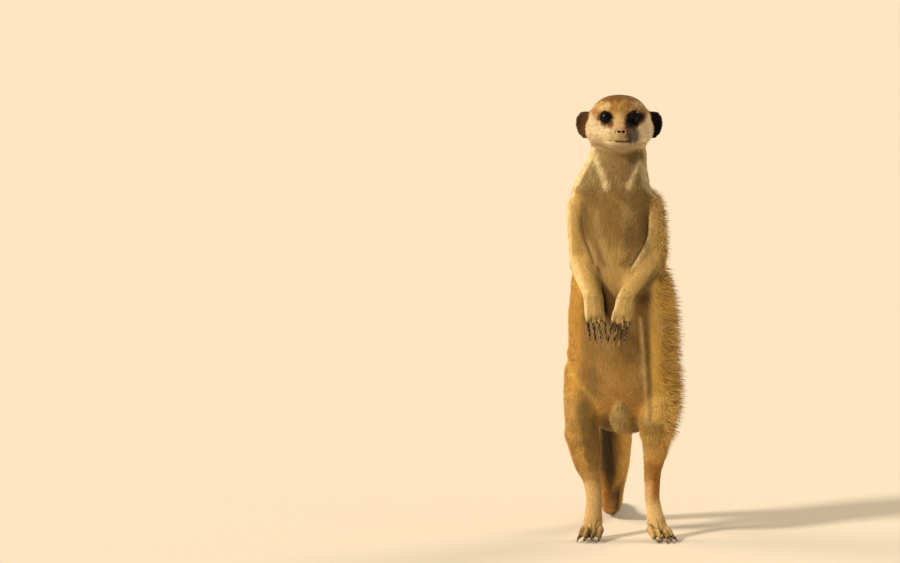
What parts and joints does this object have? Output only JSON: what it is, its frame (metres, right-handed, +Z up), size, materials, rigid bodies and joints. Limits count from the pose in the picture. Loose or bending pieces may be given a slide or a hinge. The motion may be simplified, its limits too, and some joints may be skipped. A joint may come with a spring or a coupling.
{
  "type": "meerkat",
  "caption": "Life-size standing meerkat, upright on its hind toes with folded fore paws, a pointed face and a long tail propped on the floor behind.",
  "frame": {"origin": "on the floor, under the middle of the whole animal's box, tail included", "axes": "+Z up from the floor to the crown, -Y the way the animal faces, +X its own left side"},
  "size_m": [0.0882, 0.2312, 0.335],
  "materials": {
    "coat": "short tawny fur",
    "face": "very short pale fur",
    "ear": "short black fur",
    "eye": "wet gloss",
    "nose": "moist skin",
    "claw": "worn dark horn",
    "tail_tip": "dark brown fur"
  },
  "bodies": {
    "root": {"head": "face", "lower_jaw": "face", "nose": "nose", "ear_left": "ear", "ear_right": "ear", "eye_left": "eye", "eye_right": "eye", "neck": "coat", "chest": "coat", "belly": "coat", "upper_arm_left": "coat", "forearm_left": "coat", "hand_left": "coat", "thigh_left": "coat", "shank_left": "coat", "foot_left": "coat", "upper_arm_right": "coat", "forearm_right": "coat", "hand_right": "coat", "thigh_right": "coat", "shank_right": "coat", "foot_right": "coat", "tail_root": "coat", "tail_prop": "coat", "tail_rear": "coat", "tail_tip": "tail_tip", "claw_hand_left_1": "claw", "claw_hand_left_2": "claw", "claw_hand_left_3": "claw", "claw_hand_left_4": "claw", "claw_hand_right_1": "claw", "claw_hand_right_2": "claw", "claw_hand_right_3": "claw", "claw_hand_right_4": "claw", "claw_foot_left_1": "claw", "claw_foot_left_2": "claw", "claw_foot_left_3": "claw", "claw_foot_left_4": "claw", "claw_foot_right_1": "claw", "claw_foot_right_2": "claw", "claw_foot_right_3": "claw", "claw_foot_right_4": "claw"}
  },
  "joints": []
}
